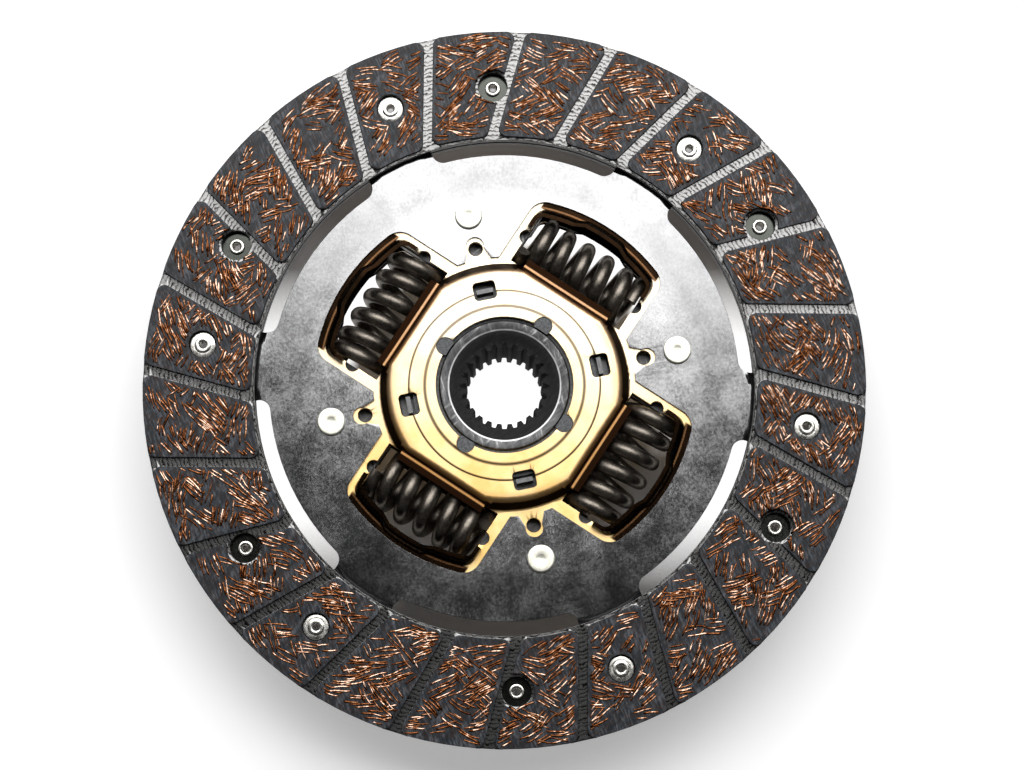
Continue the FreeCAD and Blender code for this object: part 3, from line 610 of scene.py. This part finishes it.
# %% Finish the remaining nodes
for node, material in (
    ("hub_bush_front", bush_resin),
    ("hub_bush_rear", bush_resin),
    ("friction_washer_front", ring_resin),
    ("friction_washer_rear", ring_resin),
    ("thrust_plate", washer_steel),
    ("wave_washer", washer_steel),
):
    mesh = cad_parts[node].data
    mesh.materials.clear()
    mesh.materials.append(material)

# %% [markdown]
# ## Coil springs
# A spring is a round wire on a helix. Its first and last turn lie close, and its ends are ground
# flat so that they push square on the windows. The wire's centre at turn t is on a circle of the
# coil's radius at angle 2 pi t, and moves along the spring by the pitch, which is small over the end
# turns. Points past the ground ends are pressed back onto them. Every other spring starts half a turn
# on.

# %% Wind the springs
spring_circle_r = 41.9 * MM
spring_outer_r = 9.6 * MM
spring_wire_r = 2.3 * MM
spring_length = 38.2 * MM
spring_turns = 5.9
spring_closed_pitch = 4.62 * MM
steps_per_turn = 44
wire_sides = 20
hub_mid_z = 23.5 * MM


def spring_points(first_angle):
    """Points of one spring that lies along +Y, with its middle at (spring circle, 0, hub middle).

    The wire starts at the given angle from the spring's top. At turn t the coil's angle is that plus
    2 pi t, and a point on the wire's skin adds the wire's radius at an angle of its own.
    """
    turn = np.linspace(0.0, spring_turns, int(spring_turns * steps_per_turn) + 1)
    coil_r = spring_outer_r - spring_wire_r
    open_turns = spring_turns - 2
    open_pitch = (spring_length - spring_wire_r - 2 * spring_closed_pitch) / open_turns
    along = -spring_length / 2 + spring_wire_r / 2 + spring_closed_pitch * np.minimum(turn, 1.0)
    along = along + open_pitch * np.clip(turn - 1.0, 0.0, open_turns)
    along = along + spring_closed_pitch * np.clip(turn - 1.0 - open_turns, 0.0, 1.0)
    angle = first_angle + 2 * np.pi * turn
    side = 2 * np.pi * np.arange(wire_sides) / wire_sides
    radius = coil_r + spring_wire_r * np.cos(side)[None, :]
    y = along[:, None] + spring_wire_r * np.sin(side)[None, :]
    y = np.clip(y, -spring_length / 2, spring_length / 2)
    x = spring_circle_r + radius * np.sin(angle)[:, None]
    z = hub_mid_z + radius * np.cos(angle)[:, None]
    return np.stack([x, y, z], axis=-1)


for number in range(1, window_count + 1):
    one_spring = spring_points(np.pi * ((number + 1) % 2))
    rings = one_spring.shape[0]
    turn = first_window_angle + 2 * np.pi * (number - 1) / window_count
    c, s = np.cos(turn), np.sin(turn)
    turned = one_spring.reshape(-1, 3) @ np.array([[c, s, 0], [-s, c, 0], [0, 0, 1]])
    spring = make_piece(
        "spring_coil_%d" % number, turned, tube_faces(rings, wire_sides), spring_steel, np.radians(50)
    )
    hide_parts("damper_spring_%d" % number)
    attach(spring, "disc")
    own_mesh(spring)
print("faces in one spring:", len(spring.data.polygons))

# %% [markdown]
# ## Stop pins
# The heads are upset cold: a flat face with a small dimple, and a rounded edge. The profile is
# turned about the pin's own axis.

# %% Turn the stop pins
pin_circle_r = 52.65 * MM
pin_r = 4.5 * MM
pin_tenon_r = 3.0 * MM
pin_head_r = 4.1 * MM
pin_face_r = 3.6 * MM
pin_dimple_r = 1.5 * MM
pin_head_height = 1.2 * MM
plate_gap_low = 19.0 * MM
plate_gap_high = 28.0 * MM
head_top = float(pin_high[2])
head_seat = head_top - pin_head_height
foot = float(pin_low[2])
foot_seat = foot + pin_head_height
pin_profile = [
    (0.0, foot), (pin_face_r, foot), (3.95 * MM, foot + 0.08 * MM), (pin_head_r, foot + 0.3 * MM),
    (pin_head_r, foot_seat), (pin_tenon_r, foot_seat), (pin_tenon_r, plate_gap_low),
    (pin_r, plate_gap_low), (pin_r, plate_gap_high), (pin_tenon_r, plate_gap_high),
    (pin_tenon_r, head_seat), (pin_head_r, head_seat), (pin_head_r, head_top - 0.4 * MM),
    (4.0 * MM, head_top - 0.14 * MM), (3.75 * MM, head_top - 0.02 * MM), (pin_face_r, head_top),
    (pin_dimple_r, head_top), (1.3 * MM, head_top - 0.04 * MM), (1.0 * MM, head_top - 0.12 * MM),
    (0.0, head_top - 0.18 * MM),
]
pin_places = round_points(window_count, first_window_angle - np.pi / window_count, pin_circle_r)
for number, centre in enumerate(pin_places, 1):
    pin = turned_piece("pin_turned_%d" % number, pin_profile, centre, pin_steel, 56)
    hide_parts("stop_pin_%d" % number)
    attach(pin, "disc")
print("stop pins turned:", len(pin_places))

# %% [markdown]
# ## Facing rivets
# A tubular rivet has a flat head, a bore, and a rolled end that spreads under the paddle. The same
# profile serves the front rivets and, turned over, the rear ones, whose rolled ends show through the
# front facing.

# %% Turn the rivets
rivet_steps = 40


def rivet_profile():
    """Radius and height above the facing's back of one rivet, from bore to bore."""
    outline = np.array([
        (0.95, 1.85), (1.00, 2.00), (1.20, 2.17), (1.60, 2.24), (2.05, 2.22), (2.30, 2.12), (2.42, 2.05),
        (2.60, 2.05), (3.55, 2.06), (3.78, 1.98), (3.85, 1.80), (3.85, 1.2), (1.75, 1.2), (1.75, -0.9),
        (2.15, -0.92), (2.30, -1.1), (2.30, -1.4), (2.15, -1.68), (1.85, -1.8), (1.5, -1.78), (1.2, -1.62),
        (1.0, -1.35), (0.95, -1.1),
    ])
    return outline[::-1] * MM


def rivets(name, node, first_angle, front):
    """Six rivets as one piece: closed rings of the profile, right way up or turned over."""
    outline = rivet_profile()
    angle = np.linspace(0.0, 2 * np.pi, rivet_steps, endpoint=False)
    base = float(facing_high[2]) - facing_thickness
    r = outline[:, 0][:, None]
    z = outline[:, 1][:, None] + base + 0 * angle[None, :]
    if not front:
        z = 2 * cushion_mid_z - z
    ring = np.stack([r * np.cos(angle), r * np.sin(angle), z], axis=-1).reshape(-1, 3)
    row, side = np.meshgrid(np.arange(len(outline)), np.arange(rivet_steps), indexing="ij")
    here = row * rivet_steps + side
    beside = row * rivet_steps + (side + 1) % rivet_steps
    above = (here + rivet_steps) % (len(outline) * rivet_steps)
    above_beside = (beside + rivet_steps) % (len(outline) * rivet_steps)
    order = [here, beside, above_beside, above] if front else [here, above, above_beside, beside]
    quads = np.stack(order, axis=-1).reshape(-1, 4)
    centres = round_points(rivet_count, first_angle, rivet_circle_r)
    points = np.concatenate([ring + np.array([x, y, 0.0]) for x, y in centres])
    faces = np.concatenate([quads + k * len(ring) for k in range(rivet_count)])
    piece = make_piece(name, points, faces.tolist(), rivet_steel, np.radians(40))
    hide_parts(node)
    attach(piece, "disc")
    print(name, "faces", len(faces))


rivets("rivets_turned_front", "facing_rivets_front", front_rivet_angle, True)
rivets("rivets_turned_rear", "facing_rivets_rear", rear_rivet_angle, False)

# %% [markdown]
# ## Brass wires in the pads
# The lining is wound, not woven: the yarn swings between the inner and the outer rim while it runs
# round the disc, so the wires lie along the rims there and cross at a steep slant half way. Each
# yarn carries a few wires side by side. They show as strands of a few millimetres where they come to
# the surface, and dive back into the resin between. A strand starts from a place on such a swing,
# takes the swing's slope there, bends with it, and wavers a little. It is cut where it would leave
# its pad. The section has a broad top, because the pads are ground flat, and its ends sink below
# the face.

# %% Sizes of the wires
strand_points = 10
trial_points = 28
wire_half_width = 0.46 * MM
wire_spacing = (0.92, 1.15)
strand_length = (4.5, 9.5)
shortest_strand = 2.2 * MM
rim_margin = 1.5 * MM
edge_margin = 0.6 * MM
hole_margin = 4.7 * MM
fewest_wires = 3
most_wires = 5
angle_share = 0.7548776662
radius_share = 0.5698402910
yarn_middle_r = (facing_outer_r + facing_inner_r) / 2 + 0.3 * MM
yarn_swing = 14.6 * MM
yarn_swings_per_turn = 4.43
wire_section = np.array([(-1.0, -0.30), (-0.45, 0.40), (0.45, 0.40), (1.0, -0.30), (0.0, -0.80)])
wire_core = np.array([0.0, 1.0, 1.0, 0.0, 0.0])

# %% Tell pads from grooves
def on_a_pad(x, y):
    """True where a point is on a pad: between the rims, off the grooves and off the rivet holes.

    The groove lines touch a circle about the axis. Turned back by a groove's angle, a point's
    height above the tangent circle's level is its distance from that groove.
    """
    r = np.hypot(x, y)
    inside = (r > facing_inner_r + rim_margin) & (r < facing_outer_r - edge_margin)
    pitch = 2 * np.pi / groove_count
    lean = np.arcsin(np.clip(groove_tangent_r / np.maximum(r, groove_tangent_r * 1.01), 0, 1))
    past = (np.arctan2(y, x) - groove_start - lean) % pitch
    clear = groove_width / 2 + edge_margin * 0.7
    below = r * np.sin(past + lean) - groove_tangent_r
    above = groove_tangent_r - r * np.sin(past + lean - pitch)
    inside &= (below > clear) & (above > clear)
    for first in (front_rivet_angle, rear_rivet_angle):
        for cx, cy in round_points(rivet_count, first, rivet_circle_r):
            inside &= np.hypot(x - cx, y - cy) > hole_margin
    return inside


# %% Lay the wires
def trial_strands(rng, yarns, first_yarn):
    """Strands as rows of points (x, y), with the way along each and its length.

    The yarns are spread evenly: a yarn's number times an irrational share, less the whole part, gives
    its angle, and another its radius. Two crossed waves pick patches in which the yarns run outwards
    or inwards. A strand's direction is its yarn's, plus the bend times the way, plus a small wave,
    and its points are the running sum of steps in that direction.
    """
    number = np.arange(yarns) + first_yarn
    place_angle = 2 * np.pi * ((number * angle_share) % 1.0)
    reach = 2.0 * ((number * radius_share) % 1.0) - 1.0
    yarn_r = yarn_middle_r + yarn_swing * reach
    patch = np.sin(place_angle * 29.0 + 1.7 * np.sin(yarn_r * 330.0))
    patch = patch + np.sin(yarn_r * 520.0 + 3.0 * place_angle)
    way_out = np.where(patch < 0.2, -1.0, 1.0)
    pick = np.repeat(np.arange(yarns), most_wires)
    rank = np.tile(np.arange(most_wires), yarns)
    keep = rank < rng.integers(fewest_wires, most_wires + 1, yarns)[pick]
    pick, rank = pick[keep], rank[keep]
    count = len(pick)
    length = rng.uniform(*strand_length, count) * MM
    slide = rng.normal(0, 1.0, count) * MM
    offset = (rank - 1.6) * rng.uniform(*wire_spacing, yarns)[pick] * MM + rng.normal(0, 0.05, count) * MM
    path_r = yarn_r[pick]
    slope = yarn_swing * yarn_swings_per_turn * np.sqrt(1 - reach ** 2) * way_out
    course = np.arctan(slope[pick] / path_r) + rng.normal(0, 0.12, yarns)[pick] + rng.normal(0, 0.02, count)
    bend = -reach[pick] * 22.0 + rng.normal(0, 26.0, yarns)[pick] + rng.normal(0, 4.0, count)
    way = np.linspace(-0.5, 0.5, trial_points)[None, :] * length[:, None] + slide[:, None]
    pace, phase = rng.uniform(500, 1000, count)[:, None], rng.uniform(0, 6.28, count)[:, None]
    turn = course[:, None] + bend[:, None] * way + 0.13 * np.sin(way * pace + phase)
    step = (length / (trial_points - 1))[:, None]
    start = (slide - length / 2)[:, None]
    first_turn = course[:, None] + bend[:, None] * start / 2
    along = start * np.cos(first_turn) + np.cumsum(np.cos(turn) * step, axis=1)
    along = along - (offset * np.sin(course))[:, None]
    outwards = start * np.sin(first_turn) + np.cumsum(np.sin(turn) * step, axis=1)
    outwards = path_r[:, None] + outwards + (offset * np.cos(course))[:, None]
    out_x, out_y = np.cos(place_angle)[pick][:, None], np.sin(place_angle)[pick][:, None]
    return outwards * out_x - along * out_y, outwards * out_y + along * out_x, way, length


def cut_to_pads(x, y, way, length, limit):
    """The stretch of each strand about its middle that lies on one pad, with evenly spaced points."""
    inside = on_a_pad(x, y)
    index = np.arange(trial_points)[None, :]
    middle = trial_points // 2
    first_in = np.where(~inside & (index <= middle), index + 1, 0).max(axis=1)
    last_in = np.where(~inside & (index >= middle), index - 1, trial_points - 1).min(axis=1)
    seen_length = (last_in - first_in) * length / (trial_points - 1)
    good = np.flatnonzero(inside[:, middle] & (seen_length > shortest_strand))[:limit]
    share = np.linspace(0.0, 1.0, strand_points)[None, :]
    where = first_in[good][:, None] + (last_in - first_in)[good][:, None] * share
    low = np.minimum(where.astype(int), trial_points - 2)
    part = where - low
    row = good[:, None]
    return [table[row, low] * (1 - part) + table[row, low + 1] * part for table in (x, y, way)]


def wire_strands(name, face_z, outward, yarns, limit, seed):
    """Strands on one facing. Outward is 1 for the face that looks up and -1 for the one below.

    The section is carried along each strand: across it by the strand's side direction, and up or down
    by the face's. A strand rises and sinks a little, and its ends dive with the sixth power of the
    way from its middle. The seed is also the number of the first yarn.
    """
    rng = np.random.default_rng(seed)
    x, y, way = cut_to_pads(*trial_strands(rng, yarns, seed), limit)
    count = len(x)
    direction = np.arctan2(np.gradient(y, axis=1), np.gradient(x, axis=1))
    share = np.linspace(-1.0, 1.0, strand_points)[None, :]
    pace, phase = rng.uniform(900, 1700, count)[:, None], rng.uniform(0, 6.28, count)[:, None]
    swell = np.sin(way * pace + phase)
    lift = (-0.06 + 0.07 * swell + rng.uniform(-0.05, 0.05, count)[:, None] - 0.30 * share ** 6) * MM
    thick = wire_half_width * rng.uniform(0.75, 1.15, count)[:, None] * (1 - 0.45 * share ** 6)
    across = thick[..., None] * wire_section[:, 0] * outward
    upward = thick[..., None] * wire_section[:, 1] * outward
    px = x[..., None] + np.sin(direction)[..., None] * across
    py = y[..., None] - np.cos(direction)[..., None] * across
    pz = face_z + outward * lift[..., None] + upward
    points = np.stack([px, py, pz], axis=-1).reshape(-1, 3)
    # Core is 1 on the ridge, where the material paints a highlight, and 0 at the sides, where it paints
    # shade.
    core = rng.uniform(0.55, 1.1, count)[:, None, None] * (1 - share ** 4)[..., None] * wire_core
    sides = len(wire_section)
    strand, ring, side = np.meshgrid(
        np.arange(count), np.arange(strand_points - 1), np.arange(sides), indexing="ij"
    )
    here = (strand * strand_points + ring) * sides + side
    beside = (strand * strand_points + ring) * sides + (side + 1) % sides
    quads = np.stack([here, here + sides, beside + sides, beside], axis=-1).reshape(-1, 4).tolist()
    first = np.arange(count)[:, None] * strand_points * sides
    last = first + (strand_points - 1) * sides
    caps = (first + np.arange(sides)).tolist() + (last + np.arange(sides)[::-1]).tolist()
    piece = make_piece(name, points, quads + caps, wire_brass)
    glints = piece.data.attributes.new("core", "FLOAT", "POINT")
    glints.data.foreach_set("value", core.ravel().astype(np.float32))
    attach(piece, "disc")
    print(name, "strands", count, "faces", len(quads) + len(caps))


wire_strands("wires_front", float(facing_high[2]), 1.0, 440, 1300, 7)
wire_strands("wires_front_more", float(facing_high[2]), 1.0, 440, 1300, 447)
wire_strands("wires_rear", float(rear_low[2]), -1.0, 620, 1800, 11)

# %% [markdown]
# ## Floor and light
# The disc lies on white paper under one large soft lamp behind its upper edge. Metal is bright where
# it mirrors the lamp and dark where it mirrors the room, so the lamp's near edge decides how fast
# the plate falls from white to grey. For the camera and for mirrors the paper also glows: a little
# outside the disc, and as white as paper where it shows through the bore, the upper windows and the
# openings at the disc's sides. It still shows the shadow.

# %% Floor
floor_half = 6.0
bore_glow_r = 20.0 * MM
window_glow_inner_r = 46.0 * MM
opening_glow_inner_r = 68.0 * MM
opening_glow_outer_r = 81.0 * MM
side_openings_y = -9.0 * MM
side_openings_half = 26.0 * MM
paper_start_r = 98.0 * MM
paper_glow = 0.38
hidden_glow = 0.02
corners = [(floor_half * a, floor_half * b, 0.0) for a, b in ((-1, -1), (1, -1), (1, 1), (-1, 1))]
floor_mesh = bpy.data.meshes.new("floor")
floor_mesh.from_pydata(corners, [], [(0, 1, 2, 3)])
paper, tree, shader = new_finish("paper", 0.0)
shader.inputs["Base Color"].default_value = (0.82, 0.82, 0.82, 1.0)
shader.inputs["Roughness"].default_value = 0.9
shader.inputs["Emission Color"].default_value = (1.0, 1.0, 1.0, 1.0)
radius, height = axial(tree)
y = plan(tree)[1]
off_side = calc(tree, "ABSOLUTE", calc(tree, "SUBTRACT", y, side_openings_y))
side_light = level(tree, off_side, side_openings_half, side_openings_half + 24.0 * MM, 1.0, hidden_glow)
window_light = level(tree, y, -18.0 * MM, 12.0 * MM, hidden_glow, 1.0)
in_ring = level(tree, radius, opening_glow_inner_r, opening_glow_inner_r + 2.0 * MM)
under = calc(tree, "MULTIPLY_ADD", in_ring, calc(tree, "SUBTRACT", side_light, window_light), window_light)
under = times(tree, under, level(tree, radius, window_glow_inner_r, window_glow_inner_r + 4.0 * MM))
under = larger(tree, under, level(tree, radius, bore_glow_r, bore_glow_r - 3.0 * MM))
under = times(tree, under, level(tree, radius, opening_glow_outer_r, opening_glow_outer_r - 2.0 * MM))
outside = times(tree, level(tree, radius, paper_start_r, paper_start_r + 8.0 * MM), paper_glow)
rays = tree.nodes.new("ShaderNodeLightPath")
mirrored = larger(tree, rays.outputs["Is Glossy Ray"], rays.outputs["Is Transmission Ray"])
seen = larger(tree, rays.outputs["Is Camera Ray"], mirrored)
tree.links.new(times(tree, seen, larger(tree, under, outside)), shader.inputs["Emission Strength"])
floor_mesh.materials.append(paper)
floor = bpy.data.objects.new("floor", floor_mesh)
bpy.context.scene.collection.objects.link(floor)
print("floor half width:", floor_half)

# %% Lamps
def soft_lamp(name, width, depth, centre, turn, radiance):
    """A rectangular lamp that glows evenly downwards with the given radiance, turned about Z."""
    data = bpy.data.lights.new(name, "AREA")
    data.shape = "RECTANGLE"
    data.size = width
    data.size_y = depth
    data.energy = radiance * np.pi * width * depth
    lamp = bpy.data.objects.new(name, data)
    lamp.location = centre
    lamp.rotation_euler = (0.0, 0.0, turn)
    bpy.context.scene.collection.objects.link(lamp)
    return lamp


key_height = 1.5
key_near_edge = 0.275
key_width = 2.0
key_depth = 1.5
key_turn = np.radians(-7)
key_radiance = 5.0
key_centre = (0.0, key_near_edge + key_depth / 2, key_height)
key_lamp = soft_lamp("key", key_width, key_depth, key_centre, key_turn, key_radiance)
print("key lamp power:", round(key_lamp.data.energy, 2))

# %% [markdown]
# ## The room
# The room is grey at the level of the horizon and dark overhead, which is what the plate mirrors
# where it doesn't mirror the lamp.

# %% Room
world = bpy.data.worlds.new("room")
bpy.context.scene.world = world
world.use_nodes = True
tree = world.node_tree
sky = tree.nodes.new("ShaderNodeSeparateXYZ")
tree.links.new(tree.nodes.new("ShaderNodeTexCoord").outputs["Generated"], sky.inputs[0])
room = ramp(tree, sky.outputs[2], [
    (0.0, (0.60, 0.60, 0.60)),
    (0.10, (0.16, 0.16, 0.16)),
    (0.30, (0.05, 0.05, 0.05)),
])
tree.links.new(room, tree.nodes["Background"].inputs["Color"])
